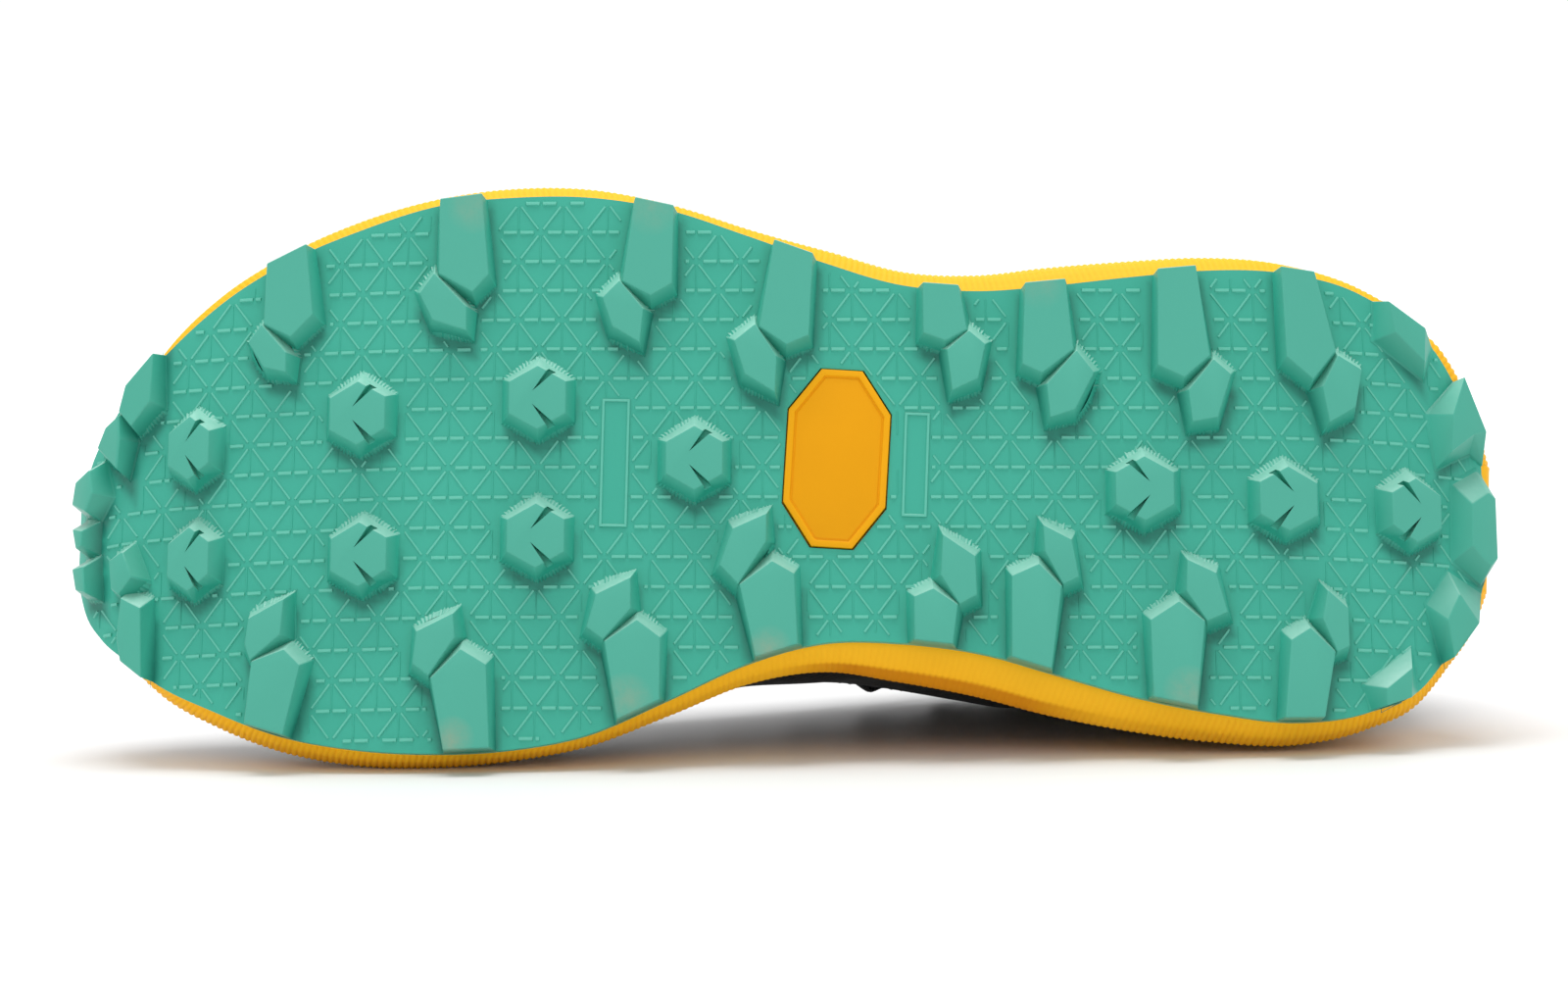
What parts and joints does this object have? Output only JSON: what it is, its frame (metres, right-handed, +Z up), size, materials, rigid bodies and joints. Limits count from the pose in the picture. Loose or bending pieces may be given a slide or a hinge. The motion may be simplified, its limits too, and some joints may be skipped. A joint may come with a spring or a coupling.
{
  "type": "trail running shoe",
  "caption": "Left trail running shoe lying on its inner side, with a lugged teal rubber outsole, flared yellow foam midsole and black laced upper.",
  "frame": {"origin": "middle of the overall box at floor level, under the shoe as it lies on its medial side", "axes": "+X from toe to heel, +Y from sole to collar, +Z up, towards the shoe's lateral side"},
  "size_m": [0.3092, 0.1418, 0.1219],
  "materials": {
    "outsole": "matte teal rubber",
    "badge": "satin orange rubber",
    "midsole": "matte yellow-orange foam",
    "upper": "black engineered mesh",
    "overlay": "matte black film",
    "lining": "black padded textile",
    "insole": "dark textile on foam",
    "lace": "flat black woven lace"
  },
  "bodies": {
    "root": {"outsole": "outsole", "badge_plate": "badge", "midsole": "midsole", "upper": "upper", "toe_cap": "overlay", "heel_counter": "overlay", "eyestay": "overlay", "tongue": "lining", "insole": "insole", "lace": "lace"}
  },
  "joints": []
}
